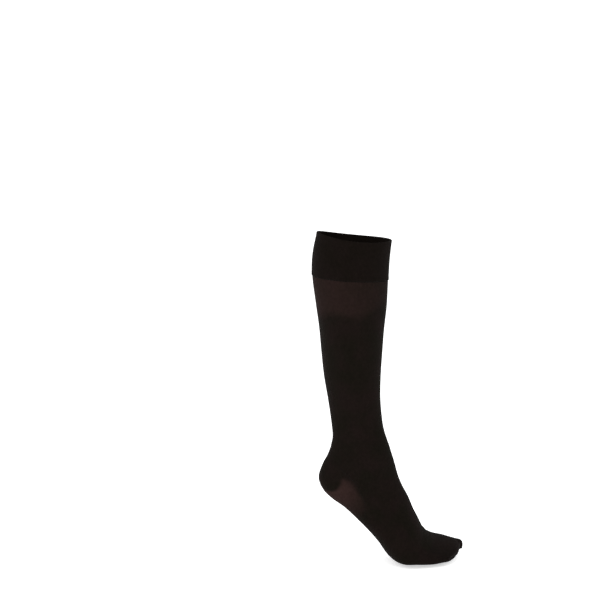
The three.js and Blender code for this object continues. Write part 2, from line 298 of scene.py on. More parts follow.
def column_turn(station, column):
    """The turn of a column, from 0 to a full circle."""
    edge = heel_turn(station)
    signed = np.where(column > COLUMNS / 2, column - COLUMNS, column)
    size = np.abs(signed)
    rest = COLUMNS / 2 - HEEL_COLUMNS
    in_pouch = edge * size / HEEL_COLUMNS
    beyond = edge + (math.pi - edge) * (size - HEEL_COLUMNS) / rest
    turn = np.where(size <= HEEL_COLUMNS, in_pouch, beyond)
    return np.where(signed < 0, 2 * math.pi - turn, turn)


# %% [markdown]
# ## One grid for the single knit
#
# Leg, heel, foot and toe share one grid of points, an outer and an inner face a knit's thickness apart.
# Each piece then takes its own cells of that grid. Neighbours meet in the very same points, so the knit runs
# on smoothly over the seams, as it does on the machine. Two shells modelled apart would show a line there.

# %% Rings and points of the grid
KNIT_WALL = 1.2  # thickness of the single knit, in millimetres
STRETCHES = [
    # piece, from, to, distance between rings in millimetres
    ("leg", "band_foot", "heel_top", 2.2),
    ("leg", "heel_top", "heel_turn", 1.5),
    ("foot", "heel_turn", "waist", 1.5),
    ("foot", "waist", "toe_base", 1.7),
    ("toe", "toe_base", "toe_nose", 1.6),
    ("toe", "toe_nose", "toe_seam", 0.9),
]
ring_stations, ring_pieces = [STATION["band_foot"]], []
for piece, start, end, spacing in STRETCHES:
    count = math.ceil((STATION[end] - STATION[start]) / spacing)
    for i in range(1, count + 1):
        ring_stations.append(STATION[start] + (STATION[end] - STATION[start]) * i / count)
        ring_pieces.append(piece)
ring_stations = np.array(ring_stations)
ring_pieces = np.array(ring_pieces)

grid_columns = np.arange(COLUMNS)
grid_station = np.repeat(ring_stations[:, None], COLUMNS, axis=1)
grid_turn = column_turn(grid_station, grid_columns[None, :])
grid_normal = knit_normal(grid_station, grid_turn)
grid_inner = knit_point(grid_station, grid_turn) + grid_normal * relief(grid_station, grid_turn)[..., None]
grid_outer = grid_inner + grid_normal * KNIT_WALL
print(f"{len(ring_stations)} rings of {COLUMNS} points on each face")

# %% [markdown]
# ## Where the knit is sheer
#
# A compression knit is dense where it presses and thinner where it may give. Stretched over the calf just
# under the band, and in the pouch round the heel, it opens up and reads as a warm, slightly lighter brown.
# The point of the heel is spliced with an extra yarn and stays dark. The inner side shows more of both zones
# than the outer. A number on every point says how far the knit opens there, and the finish reads it. Painting
# it by hand would tie it to one mesh. This way the zones are sizes, like everything else.

# %% The sheer zone under the band
CALF_SHEER = [
    # turn in degrees, mm it reaches below the band, mm it fades over, strength
    (0, 54, 26, 0.41),
    (30, 55, 34, 0.74),
    (62, 58, 38, 1.0),
    (95, 54, 36, 0.72),
    (130, 42, 30, 0.24),
    (165, 38, 20, 0.08),
    (200, 32, 18, 0.12),
    (228, 36, 18, 0.2),
    (245, 45, 18, 0.25),
    (262, 50, 18, 0.3),
    (280, 48, 18, 0.36),
    (302, 46, 18, 0.37),
    (328, 49, 18, 0.35),
    (360, 54, 26, 0.41),
]


def calf_sheerness(station, turn):
    turns, reaches, fades, strengths = (np.array(column, float) for column in zip(*CALF_SHEER))
    degrees = np.degrees(turn) % 360
    under_band = station - STATION["band_foot"]
    reach = smooth_column(turns, reaches, degrees)
    half_fade = smooth_column(turns, fades, degrees) / 2
    down = 1 - smoothstep(under_band, reach - half_fade, reach + half_fade)
    return smooth_column(turns, strengths, degrees) * down


# %% [markdown]
# Round the heel the sheer border is measured from the middle of the spliced heel point, in the plane of the
# foot: how far it reaches in each direction. Each side of the foot has its own table, and the two blend into
# each other over the back of the heel and the sole.

# %% The sheer border round the heel point
HEEL_POINT = (-38.0, -344.0)  # x and z of the middle of the spliced heel point
HEEL_POINT_RADIUS = 16.3
HEEL_SHEER_OUTER = [
    # degrees from straight down toward the toes, mm from the heel point where the sheer border ends
    (-60, 15),
    (-30, 40),
    (0, 64),
    (35, 66),
    (50, 63),
    (57, 60),
    (62, 52),
    (69, 41),
    (85, 31),
    (100, 20),
    (112, 10),
]
HEEL_SHEER_INNER = [
    # the same on the inner side
    (-90, 14),
    (-50, 34),
    (0, 62),
    (40, 64),
    (70, 58),
    (90, 54),
    (120, 47),
    (150, 38),
    (175, 26),
    (200, 14),
]
FIRST_DEGREES = -130  # degrees are counted on from here once round, so that neither table is cut in two
SIDE_BLEND = 14  # the two tables blend this far to each side of the middle of the foot, in millimetres
OUTER_EDGE = 9  # how softly the border fades into the dense knit on the outer side, in millimetres
INNER_EDGE = 12  # and on the inner side
SPLICE_EDGE = 3  # how softly it meets the heel point
OUTER_STRENGTH = 0.92  # how far the knit opens at the heel point, 1 being the inner side there
OUTER_FADE = 0.72  # how much of that is gone at the far end of the border, toward the toes
OUTER_FADE_OVER = (HEEL_POINT_RADIUS + 4, 62)  # between these distances from the heel point
OUTER_TOP_FADE = 0.3  # how much of it is gone at the upper end, toward the ankle
OUTER_TOP_FADE_OVER = (55, 100)  # between these degrees
INNER_FADE = 0.3  # how much is gone at the border on the inner side
INNER_FADE_OVER = (HEEL_POINT_RADIUS, 50)
INNER_POINT_SHEER = 0.55  # how much of the border's sheerness the heel point keeps on the inner side


def heel_sheerness(points, station):
    dx, dz = points[..., 0] - HEEL_POINT[0], points[..., 2] - HEEL_POINT[1]
    distance = np.hypot(dx, dz)
    angle = (np.degrees(np.arctan2(dx, -dz)) - FIRST_DEGREES) % 360 + FIRST_DEGREES
    outer_end = np.interp(angle, *zip(*HEEL_SHEER_OUTER))
    inner_end = np.interp(angle, *zip(*HEEL_SHEER_INNER))
    inward = smoothstep(points[..., 1], -SIDE_BLEND, SIDE_BLEND)
    end = outer_end + (inner_end - outer_end) * inward
    edge = OUTER_EDGE + (INNER_EDGE - OUTER_EDGE) * inward
    border = 1 - smoothstep(distance, end - edge, end + edge)
    point = 1 - smoothstep(distance, HEEL_POINT_RADIUS - SPLICE_EDGE, HEEL_POINT_RADIUS + SPLICE_EDGE)
    outer_strength = OUTER_STRENGTH * (1 - OUTER_FADE * smoothstep(distance, *OUTER_FADE_OVER))
    outer_strength *= 1 - OUTER_TOP_FADE * smoothstep(angle, *OUTER_TOP_FADE_OVER)
    inner_strength = 1 - INNER_FADE * smoothstep(distance, *INNER_FADE_OVER)
    strength = outer_strength + (inner_strength - outer_strength) * inward
    in_foot = smoothstep(station, STATION["ankle_bones"], STATION["heel_top"])
    return border * strength * (1 - point * (1 - INNER_POINT_SHEER * inward)) * in_foot


# %% Sheerness of every point of the grid
grid_sheer = np.clip(calf_sheerness(grid_station, grid_turn) + heel_sheerness(grid_outer, grid_station), 0, 1)
print(f"sheer share of the single knit: {grid_sheer.mean():.2f}")

# %% [markdown]
# ## From grid to cloth
#
# Each piece is a closed wall: outer faces, inner faces turned the other way, and a strip along every free
# edge. The knit's own UV map runs once round the tube and once down its length, so the wales and courses of
# the finish follow the cloth and narrow with it at the ankle.

# %% Build a mesh with its knit map
TUBE_LENGTH = STATION["toe_seam"]
SHARP_ANGLE = math.radians(50)  # only edges sharper than this, at a cut edge of the cloth, show as edges


def knit_mesh(name, points, faces, corner_uvs, sheer):
    mesh = bpy.data.meshes.new(name)
    mesh.from_pydata((np.asarray(points) * MM).tolist(), [], faces)
    mesh.uv_layers.new(name="Knit").data.foreach_set("uv", np.asarray(corner_uvs, float).ravel())
    mesh.attributes.new("sheer", "FLOAT", "POINT").data.foreach_set("value", np.asarray(sheer, float))
    mesh.shade_smooth()
    mesh.set_sharp_from_angle(angle=SHARP_ANGLE)
    mesh.validate()
    piece = bpy.data.objects.new(name, mesh)
    bpy.context.scene.collection.objects.link(piece)
    print(f"{name}: {len(mesh.vertices)} points, {sum(len(f) - 2 for f in faces)} triangles")
    return piece


# %% Cut one piece out of the shared grid
OUTER, INNER = 0, 1  # the two faces of the wall


def cells_of(piece):
    cells = np.repeat((ring_pieces == piece)[:, None], COLUMNS, axis=1)
    middle = (ring_stations[:-1] + ring_stations[1:]) / 2
    in_heel = (middle > STATION["heel_top"]) & (middle < STATION["waist"])
    near_back = (grid_columns < HEEL_COLUMNS) | (grid_columns >= COLUMNS - HEEL_COLUMNS)
    pouch = in_heel[:, None] & near_back[None, :]
    return pouch if piece == "heel" else cells & ~pouch


def knit_piece(name, node):
    """The wall of one knitted section. The toe's last ring is sewn shut across the seam."""
    cells = cells_of(node)
    rings = len(ring_stations)
    points, sheer, faces, uvs, index = [], [], [], [], {}

    def corner(i, j, face):
        key = (i, j % COLUMNS, face)
        if key not in index:
            index[key] = len(points)
            points.append((grid_outer if face == OUTER else grid_inner)[i, j % COLUMNS])
            sheer.append(grid_sheer[i, j % COLUMNS])
        u = 1.0 if j == COLUMNS else grid_turn[i, j % COLUMNS] / (2 * math.pi)
        return index[key], (u, ring_stations[i] / TUBE_LENGTH)

    def add_face(corners):
        faces.append([c[0] for c in corners])
        uvs.extend(c[1] for c in corners)

    for i, j in zip(*np.nonzero(cells)):
        i, j = int(i), int(j)
        ring = [(i, j), (i, j + 1), (i + 1, j + 1), (i + 1, j)]
        outer = [corner(a, b, OUTER) for a, b in ring]
        inner = [corner(a, b, INNER) for a, b in ring]
        add_face(outer)
        add_face(inner[::-1])
        beside = [(i - 1, j), (i, j + 1), (i + 1, j), (i, j - 1)]
        for k, (a, b) in enumerate(beside):
            toe_end = node == "toe" and a == rings - 1
            free = a < 0 or a >= rings - 1 or not cells[a, b % COLUMNS]
            if free and not toe_end:
                n = (k + 1) % 4
                add_face([outer[n], outer[k], inner[k], inner[n]])
    if node == "toe":
        half, quarter = COLUMNS // 2, COLUMNS // 4
        for face in (OUTER, INNER):
            for k in range(-quarter, quarter):
                strip = [k, k + 1, half - k - 1, half - k]
                corners = [corner(rings - 1, column % COLUMNS, face) for column in strip]
                kept = [c for n, c in enumerate(corners) if c[0] not in [d[0] for d in corners[:n]]]
                add_face(kept if face == OUTER else kept[::-1])
    return knit_mesh(name, points, faces, uvs, sheer)


leg = knit_piece("leg_knit", "leg")
heel = knit_piece("heel_pouch", "heel")
foot = knit_piece("foot_knit", "foot")
toe = knit_piece("toe_pouch", "toe")

# %% [markdown]
# ## The band
#
# The band under the knee is a welt: it is knitted twice as long, folded inwards and linked, so it is twice as
# thick, opaque, and its upper edge is a soft fold instead of a cut. Its section is drawn once, up the inside,
# over the fold, down the outside and round the lower edge, and is carried round the leg.
# A Solidify modifier would give the thickness but a square upper edge.

# %% Section of the folded band, carried round the leg
BAND_WALL = 2.2  # thickness of the folded band, in millimetres
BAND_PROUD = 0.6  # how far it stands out over the single knit
BAND_GAP = 0.05  # clear space between the band and the single knit, where the linking holds them together
BAND_RINGS = 26  # rings down each face
FOLD_STEPS = 10  # steps over the fold
HEM_ROUND = 1.1  # length of the rounding at the lower edge
HEM_STEPS = 4  # steps round it
FOLD_ROLL = 0.35  # the cloth turns at the fold, so it swells this much there
FOLD_ROLL_LENGTH = 3.5  # over this distance from the rim
HEM_ROLL = 0.6  # the swelling at the lower edge, as a share of the one at the fold
HEM_ROLL_UP = 3  # it is fullest this far above that edge
HEM_ROLL_LENGTH = 2.2  # over this distance


def band_profile():
    """Station and outward place of each point of the section, up the inside and down the outside."""
    half = BAND_WALL / 2
    outer = KNIT_WALL + BAND_PROUD
    middle = outer - half
    foot_at = STATION["band_foot"] - BAND_GAP
    plain = np.linspace(half, foot_at - HEM_ROUND, BAND_RINGS)
    profile = [(foot_at, middle - half)] + [(s, middle - half) for s in plain[::-1]]
    for t in np.linspace(0, math.pi, FOLD_STEPS + 1)[1:-1]:
        profile.append((half * (1 - math.sin(t)), middle - half * math.cos(t)))
    for s in plain:
        at_fold = math.exp(-((s / FOLD_ROLL_LENGTH) ** 2))
        at_hem = math.exp(-(((s - foot_at + HEM_ROLL_UP) / HEM_ROLL_LENGTH) ** 2))
        profile.append((s, outer + FOLD_ROLL * (at_fold + HEM_ROLL * at_hem)))
    for t in np.linspace(0, math.pi / 2, HEM_STEPS + 1)[1:]:
        profile.append((foot_at - HEM_ROUND * (1 - math.sin(t)), KNIT_WALL + BAND_PROUD * math.cos(t)))
    return profile


def band_piece(name):
    profile = band_profile()
    turns = grid_columns * 2 * math.pi / COLUMNS
    stations = np.array([p[0] for p in profile])[:, None] * np.ones(COLUMNS)
    places = np.array([p[1] for p in profile])[:, None] * np.ones(COLUMNS)
    all_turns = np.ones(len(profile))[:, None] * turns
    outward = places + waver(stations, all_turns)
    points = knit_point(stations, all_turns) + knit_normal(stations, all_turns) * outward[..., None]
    faces, uvs = [], []
    count = len(profile)
    run = np.concatenate([[0], np.cumsum(np.hypot(*np.diff(np.array(profile), axis=0).T))])
    for i in range(count):
        n = (i + 1) % count
        for j in range(COLUMNS):
            k = (j + 1) % COLUMNS
            faces.append([i * COLUMNS + j, i * COLUMNS + k, n * COLUMNS + k, n * COLUMNS + j])
            high = run[n] if n else run[-1] + BAND_WALL
            for v, u in ((run[i], j), (run[i], j + 1), (high, j + 1), (high, j)):
                uvs.append((u / COLUMNS, v / TUBE_LENGTH))
    return knit_mesh(name, points.reshape(-1, 3), faces, uvs, np.zeros(count * COLUMNS))


band = band_piece("welt_band")

# %% [markdown]
# ## Finishes
#
# The cloth is nylon covered elastane. The textured filament gives a soft, matte black: no clear highlight, a
# faint grey bloom where the light grazes it, and a fine stripe of wales that only shows close by.
# One small function adds a node, sets it and links it, so each finish below reads as a list of its steps.

# %% Helpers: a colour from its hex value, a node with its links, the start and the end of a finish
def linear(hex_value):
    channels = [int(hex_value[i : i + 2], 16) / 255 for i in (1, 3, 5)]
    return tuple(c / 12.92 if c <= 0.04045 else ((c + 0.055) / 1.055) ** 2.4 for c in channels) + (1.0,)


def add(tree, kind, settings=None, **links):
    """Adds a node. Each link is an input's name or number, and a node or socket to join or a value to set."""
    node = tree.nodes.new(kind)
    for key, value in (settings or {}).items():
        setattr(node, key, value)
    for key, value in links.items():
        socket = node.inputs[int(key[1:])] if key[1:].isdigit() else node.inputs[key.replace("_", " ")]
        if isinstance(value, bpy.types.Node):
            value = value.outputs[0]
        if isinstance(value, bpy.types.NodeSocket):
            tree.links.new(value, socket)
        else:
            socket.default_value = value
    return node


def empty_finish(name):
    material = bpy.data.materials.new(name)
    material.use_nodes = True
    material.node_tree.nodes.clear()
    return material, material.node_tree


def surface(tree, colour, rough, bump, specular):
    """Joins the colour, the roughness and the relief to one shader, and returns its inputs."""
    shader = add(tree, "ShaderNodeBsdfPrincipled", Base_Color=colour, Roughness=rough, Normal=bump)
    shader.inputs["Specular IOR Level"].default_value = specular
    add(tree, "ShaderNodeOutputMaterial", Surface=shader)
    return shader.inputs


# %% [markdown]
# The knit finish reads three things: the knit's own map for its wales and courses, Object coordinates for
# slow changes of tone, and the sheerness of each point. Wales on such a stocking are about 0.8 mm apart,
# which is finer than a pixel from this camera. So they are drawn at about 1.8 mm on the calf, and still read
# as a fine rib. A real mesh of yarn would need millions of faces for the same picture.

# %% Sizes and tones of the drawn knit
WALES = 180  # about 1.8 mm apart on the calf, twice as coarse as the real ones
COURSE = 1.5  # millimetres between two courses, drawn about twice as coarse too
WALE_PROFILE = (0.04, 0.42)  # a wale rises from its gap to its back between these shares of its width
LOOP_PROFILE = (0.05, 0.4)  # and a loop between these shares of a course
LOOP_SHARE = 0.4  # how much of the relief the loops make, the wales making the rest
LOOP_LEAN = 0.35  # how far the legs of a loop lean, as a share of a course
WALE_HEIGHT = 0.12  # height of the drawn relief, in millimetres
FIBRE = 0.35  # the fuzz of the textured filament, as a share of that relief
ROUGH_SPREAD = 0.07  # the backs of the loops are rubbed this much smoother, the gaps are as much rougher
PATCH_SCALE = 38.0  # slow changes of tone, about 26 mm across
PATCH_RANGE = (0.35, 0.65)  # values of that noise between which the tone goes from dense to warm
FLECK_SCALE = 240.0  # small flecks, about 4 mm across
FLECK_RANGE = (0.3, 0.7)
FLECK_SHADE = (0.86, 1.14)  # how dark and how light they are
GAP_PAINTED_SHADE, LOOP_PAINTED_HIGHLIGHT = 0.72, 1.12  # painted shade in the gaps and painted highlight on the backs of the loops, as tones of the colour
GAP_SHEER = 1.12  # how much more the knit opens in its gaps
LOOP_COVER = 0.35  # and how much of that the backs of the loops cover
FILAMENT_IOR = 1.5  # nylon
SHEEN_ROUGHNESS = 0.35
SHEEN_TINT = "#d8d4d6"


# %% The knit finish
def knit_finish(name, dense, warm, sheer, roughness, sheen, specular, relief_share):
    material, tree = empty_finish(name)
    place = add(tree, "ShaderNodeTexCoord")
    knit_map = add(tree, "ShaderNodeUVMap", {"uv_map": "Knit"})
    opened = add(tree, "ShaderNodeAttribute", {"attribute_name": "sheer"})
    times, weigh = {"operation": "MULTIPLY"}, {"operation": "MULTIPLY_ADD"}
    soft, blend = {"interpolation_type": "SMOOTHSTEP"}, {"data_type": "RGBA"}
    (wale_low, wale_high), (loop_low, loop_high) = WALE_PROFILE, LOOP_PROFILE

    counts = (WALES, TUBE_LENGTH / COURSE, 1)
    scaled = add(tree, "ShaderNodeMapping", Vector=knit_map, Scale=counts)
    parts = add(tree, "ShaderNodeSeparateXYZ", Vector=scaled)
    in_wale = add(tree, "ShaderNodeMath", {"operation": "PINGPONG"}, _0=parts, _1=0.5)
    wale = add(tree, "ShaderNodeMapRange", soft, _0=in_wale, _1=wale_low, _2=wale_high)
    lean = add(tree, "ShaderNodeMath", times, _0=in_wale, _1=2 * LOOP_LEAN)
    course = add(tree, "ShaderNodeMath", {"operation": "ADD"}, _0=parts.outputs[1], _1=lean)
    in_course = add(tree, "ShaderNodeMath", {"operation": "PINGPONG"}, _0=course, _1=0.5)
    loop = add(tree, "ShaderNodeMapRange", soft, _0=in_course, _1=loop_low, _2=loop_high)
    loop_share = add(tree, "ShaderNodeMath", weigh, _0=loop, _1=LOOP_SHARE, _2=1 - LOOP_SHARE)
    stitch = add(tree, "ShaderNodeMath", times, _0=wale, _1=loop_share)

    where = place.outputs["Object"]
    patches = add(tree, "ShaderNodeTexNoise", Vector=where, Scale=PATCH_SCALE, Detail=2.0, Roughness=0.5)
    flecks = add(tree, "ShaderNodeTexNoise", Vector=where, Scale=FLECK_SCALE, Detail=3.0, Roughness=0.6)
    low, high = PATCH_RANGE
    patch_share = add(tree, "ShaderNodeMapRange", _0=patches.outputs["Fac"], _1=low, _2=high)
    toned = add(tree, "ShaderNodeMix", blend, _0=patch_share, _6=linear(dense), _7=linear(warm))
    thin = add(tree, "ShaderNodeMath", weigh, _0=stitch, _1=-LOOP_COVER, _2=GAP_SHEER)
    clamped = {"operation": "MULTIPLY", "use_clamp": True}
    openness = add(tree, "ShaderNodeMath", clamped, _0=opened.outputs["Fac"], _1=thin)
    cloth = add(tree, "ShaderNodeMix", blend, _0=openness, _6=toned.outputs[2], _7=linear(sheer))
    # Painted shade darkens the gaps of the drawn wales and loops, and a painted highlight lightens the backs
    # of the loops.
    relief_painted_shade_and_highlight = add(tree, "ShaderNodeMapRange", _0=stitch, _3=GAP_PAINTED_SHADE, _4=LOOP_PAINTED_HIGHLIGHT)
    low, high = FLECK_RANGE
    dark, light = FLECK_SHADE
    fleck = add(tree, "ShaderNodeMapRange", _0=flecks.outputs["Fac"], _1=low, _2=high, _3=dark, _4=light)
    # value is that painted shade and highlight of the relief times the random flecks.
    value = add(tree, "ShaderNodeMath", times, _0=relief_painted_shade_and_highlight, _1=fleck)
    scale = {"operation": "SCALE"}
    colour = add(tree, "ShaderNodeVectorMath", scale, _0=cloth.outputs[2], Scale=value)

    fibre = add(tree, "ShaderNodeMath", weigh, _0=flecks.outputs["Fac"], _1=FIBRE, _2=stitch)
    height = WALE_HEIGHT * MM
    bump = add(tree, "ShaderNodeBump", Strength=relief_share, Distance=height, Height=fibre)
    rougher, smoother = roughness + ROUGH_SPREAD, roughness - ROUGH_SPREAD
    rough = add(tree, "ShaderNodeMapRange", _0=fibre, _2=1 + FIBRE, _3=rougher, _4=smoother)
    shown = surface(tree, colour, rough, bump, specular)
    shown["IOR"].default_value = FILAMENT_IOR
    shown["Sheen Weight"].default_value = sheen
    shown["Sheen Roughness"].default_value = SHEEN_ROUGHNESS
    shown["Sheen Tint"].default_value = linear(SHEEN_TINT)
    return material


# %% [markdown]
# Each section has its own finish. The band and the toe are knitted denser and have no sheer zone. Leg, heel
# and foot share their tones, because one knit runs through them.

# %% Finish of each section
KNIT_FINISHES = [
    # piece, its finish, dense black, warmer patches, sheer tone, roughness, sheen, specular, relief
    (band, "Double_knit_nylon_elastane_welt", "#110d0a", "#130e0c", "#1c1312", 0.88, 0.004, 0.02, 0.55),
    (leg, "Circular_knit_nylon_elastane_leg", "#120f0b", "#16100e", "#2e201e", 0.86, 0.005, 0.02, 0.7),
    (heel, "Reciprocated_knit_nylon_heel", "#120f0b", "#16100e", "#2e201e", 0.86, 0.005, 0.02, 0.7),
    (foot, "Circular_knit_nylon_elastane_foot", "#120f0b", "#16100e", "#2e201e", 0.86, 0.005, 0.02, 0.7),
    (toe, "Spliced_knit_nylon_toe", "#120e0c", "#150f0d", "#1c1312", 0.86, 0.005, 0.02, 0.6),
]
for piece, *finish in KNIT_FINISHES:
    piece.data.materials.append(knit_finish(*finish))
    print(f"{piece.name} is finished in {piece.data.materials[0].name}")

# %% [markdown]
# The sewing thread is textured polyester, a little harder and smoother than the knit, so each stitch catches
# a small soft light on its back.

# %% The thread finish
PLY_SCALE = 2600.0  # the plies of the thread, about 0.4 mm apart
PLY_RANGE = (0.3, 0.7)  # values of that noise that stand for the grooves and for the backs of the plies
PLY_PAINTED_SHADE_AND_HIGHLIGHT = (0.75, 1.2)  # painted shade in the grooves and painted highlight on the backs of the plies, as their tones
PLY_ROUGHNESS = (0.78, 0.62)  # and how rough they are
PLY_HEIGHT = 0.05  # in millimetres
THREAD_SPECULAR = 0.08


def thread_finish(name, tone):
    material, tree = empty_finish(name)
    place = add(tree, "ShaderNodeTexCoord")
    plies = add(tree, "ShaderNodeTexNoise", Vector=place.outputs["Object"], Scale=PLY_SCALE, Detail=1.0)
    ply = {"_0": plies.outputs["Fac"], "_1": PLY_RANGE[0], "_2": PLY_RANGE[1]}
    # Painted shade darkens the grooves between the plies and a painted highlight lightens their backs.
    relief_painted_shade_and_highlight = add(tree, "ShaderNodeMapRange", **ply, _3=PLY_PAINTED_SHADE_AND_HIGHLIGHT[0], _4=PLY_PAINTED_SHADE_AND_HIGHLIGHT[1])
    rough = add(tree, "ShaderNodeMapRange", **ply, _3=PLY_ROUGHNESS[0], _4=PLY_ROUGHNESS[1])
    scale = {"operation": "SCALE"}
    colour = add(tree, "ShaderNodeVectorMath", scale, _0=linear(tone)[:3], Scale=relief_painted_shade_and_highlight)
    bump = add(tree, "ShaderNodeBump", Strength=0.4, Distance=PLY_HEIGHT * MM, Height=plies.outputs["Fac"])
    surface(tree, colour, rough, bump, THREAD_SPECULAR)
    return material


thread = thread_finish("Textured_polyester_sewing_thread", "#120f0d")

# %% [markdown]
# ## Stitches that follow a line
#
# Three lines on a stocking are worked with stitches: the linking line that closes the welt, the gore lines
# where the heel pouch joins the instep, and the seam that shuts the toe. They could be drawn as a bump, but a
# stitch stands proud and catches light, so each is a short arched piece of thread.
# One Geometry Nodes tree serves all three: it walks along a line at a steady pitch, sets a stitch on each
# place, turns it to the line and to the cloth, and varies its size a little from a fixed seed. Its inputs are
# in metres, as Blender's own sizes are.

# %% The tree that sets stitches along a line
STITCH_STEPS = 5  # points along one stitch
THREAD_SIDES = 6
STITCH_SINK = 0.6  # how far the ends of a stitch go into the cloth, in widths of the thread


def stitch_tree():
    tree = bpy.data.node_groups.new("Stitches_along_a_line", "GeometryNodeTree")
    tree.is_modifier = True
    face = tree.interface
    face.new_socket("Line", in_out="INPUT", socket_type="NodeSocketGeometry")
    for label, default in (
        ("Pitch", 0.002),
        ("Stitch length", 0.002),
        ("Thread width", 0.0005),
        ("Arch", 0.0004),
        ("Slant", 0.0),
        ("Unevenness", 0.15),
    ):
        face.new_socket(label, in_out="INPUT", socket_type="NodeSocketFloat").default_value = default
    face.new_socket("Seed", in_out="INPUT", socket_type="NodeSocketInt")
    face.new_socket("Thread", in_out="INPUT", socket_type="NodeSocketMaterial")
    face.new_socket("Stitches", in_out="OUTPUT", socket_type="NodeSocketGeometry")
    given = tree.nodes.new("NodeGroupInput").outputs
    result = tree.nodes.new("NodeGroupOutput")
    times = {"operation": "MULTIPLY"}

    line = add(tree, "GeometryNodeMeshToCurve", _0=given["Line"])
    paced = {"mode": "LENGTH"}
    places = add(tree, "GeometryNodeCurveToPoints", paced, Curve=line, Length=given["Pitch"])
    outward = add(tree, "GeometryNodeInputNamedAttribute", {"data_type": "FLOAT_VECTOR"}, Name="outward")
    align, rolled = "FunctionNodeAlignRotationToVector", {"axis": "Z", "pivot_axis": "X"}
    along = add(tree, align, {"axis": "X"}, Vector=places.outputs["Tangent"])
    upright = add(tree, align, rolled, Rotation=along, Vector=outward.outputs["Attribute"])
    turned = add(tree, "ShaderNodeCombineXYZ", Z=given["Slant"])
    turn = add(tree, "FunctionNodeEulerToRotation", _0=turned)
    in_itself = {"rotation_space": "LOCAL"}
    rotation = add(tree, "FunctionNodeRotateRotation", in_itself, Rotation=upright, Rotate_By=turn)
    low = add(tree, "ShaderNodeMath", {"operation": "SUBTRACT"}, _0=1.0, _1=given["Unevenness"])
    high = add(tree, "ShaderNodeMath", {"operation": "ADD"}, _0=1.0, _1=given["Unevenness"])
    size = add(tree, "FunctionNodeRandomValue", {"data_type": "FLOAT"}, _2=low, _3=high, Seed=given["Seed"])
    half = add(tree, "ShaderNodeMath", times, _0=given["Stitch length"], _1=0.5)
    back = add(tree, "ShaderNodeMath", times, _0=given["Stitch length"], _1=-0.5)
    sink = add(tree, "ShaderNodeMath", times, _0=given["Thread width"], _1=-STITCH_SINK)
    rise = add(tree, "ShaderNodeMath", times, _0=given["Arch"], _1=2.0)
    start = add(tree, "ShaderNodeCombineXYZ", X=back, Z=sink)
    top = add(tree, "ShaderNodeCombineXYZ", Z=rise)
    end = add(tree, "ShaderNodeCombineXYZ", X=half, Z=sink)
    arched = "GeometryNodeCurveQuadraticBezier"
    bow = add(tree, arched, Resolution=STITCH_STEPS, Start=start, Middle=top, End=end)
    radius = add(tree, "ShaderNodeMath", times, _0=given["Thread width"], _1=0.5)
    ply = add(tree, "GeometryNodeCurvePrimitiveCircle", Resolution=THREAD_SIDES, Radius=radius)
    stitch = add(tree, "GeometryNodeCurveToMesh", Curve=bow, Profile_Curve=ply, Fill_Caps=True)
    copies = "GeometryNodeInstanceOnPoints"
    row = add(tree, copies, Points=places, Instance=stitch, Rotation=rotation, Scale=size.outputs[1])
    real = add(tree, "GeometryNodeRealizeInstances", _0=row)
    smooth = add(tree, "GeometryNodeSetShadeSmooth", _0=real)
    sewn = add(tree, "GeometryNodeSetMaterial", Geometry=smooth, Material=given["Thread"])
    tree.links.new(sewn.outputs[0], result.inputs[0])
    return tree


STITCHES = stitch_tree()
print("stitch tree inputs:", [s.name for s in STITCHES.interface.items_tree if s.in_out == "INPUT"])


# %% [markdown]
# Each line is worked out on the knit itself, with the direction away from the cloth kept on every point.
# The tree's inputs are set by their identifiers before the object is first evaluated. Then the result is
# turned into a plain mesh, because instances don't leave Blender.

# %% Sew a row of stitches along lines on the knit
def sew(name, lines, seed, **sizes):
    points, edges, outward = [], [], []
    for line_points, line_normals, closed in lines:
        first = len(points)
        points.extend((np.asarray(line_points) * MM).tolist())
        outward.extend(np.asarray(line_normals, float).ravel().tolist())
        count = len(line_points)
        edges.extend((first + i, first + (i + 1) % count) for i in range(count if closed else count - 1))
    mesh = bpy.data.meshes.new(name + "_line")
    mesh.from_pydata(points, edges, [])
    mesh.attributes.new("outward", "FLOAT_VECTOR", "POINT").data.foreach_set("vector", outward)
    carrier = bpy.data.objects.new(name + "_line", mesh)
    bpy.context.scene.collection.objects.link(carrier)
    modifier = carrier.modifiers.new("Stitches", "NODES")
    modifier.node_group = STITCHES
    wanted = {"Seed": seed, "Thread": thread, **sizes}
    for socket in STITCHES.interface.items_tree:
        if socket.in_out == "INPUT" and socket.name.replace(" ", "_") in wanted:
            modifier[socket.identifier] = wanted[socket.name.replace(" ", "_")]
    evaluated = carrier.evaluated_get(bpy.context.evaluated_depsgraph_get())
    sewn = bpy.data.meshes.new_from_object(evaluated)
    sewn.name = name
    bpy.data.objects.remove(carrier)
    shape = bmesh.new()
    shape.from_mesh(sewn)
    bmesh.ops.recalc_face_normals(shape, faces=shape.faces)
    shape.to_mesh(sewn)
    shape.free()
    piece = bpy.data.objects.new(name, sewn)
    bpy.context.scene.collection.objects.link(piece)
    print(f"{name}: {len(sewn.polygons)} faces")
    return piece


def on_knit(station, turn, proud):
    """Points that stand this far out over the outer face, and the outward direction at each."""
    station, turn = np.broadcast_arrays(np.asarray(station, float), np.asarray(turn, float))
    normal = knit_normal(station, turn)
    return knit_point(station, turn) + normal * (relief(station, turn) + KNIT_WALL + proud)[..., None], normal


# %% [markdown]
# The linking runs round the lower edge of the band, half over that edge, so its stitches lean down as well as
# outward.

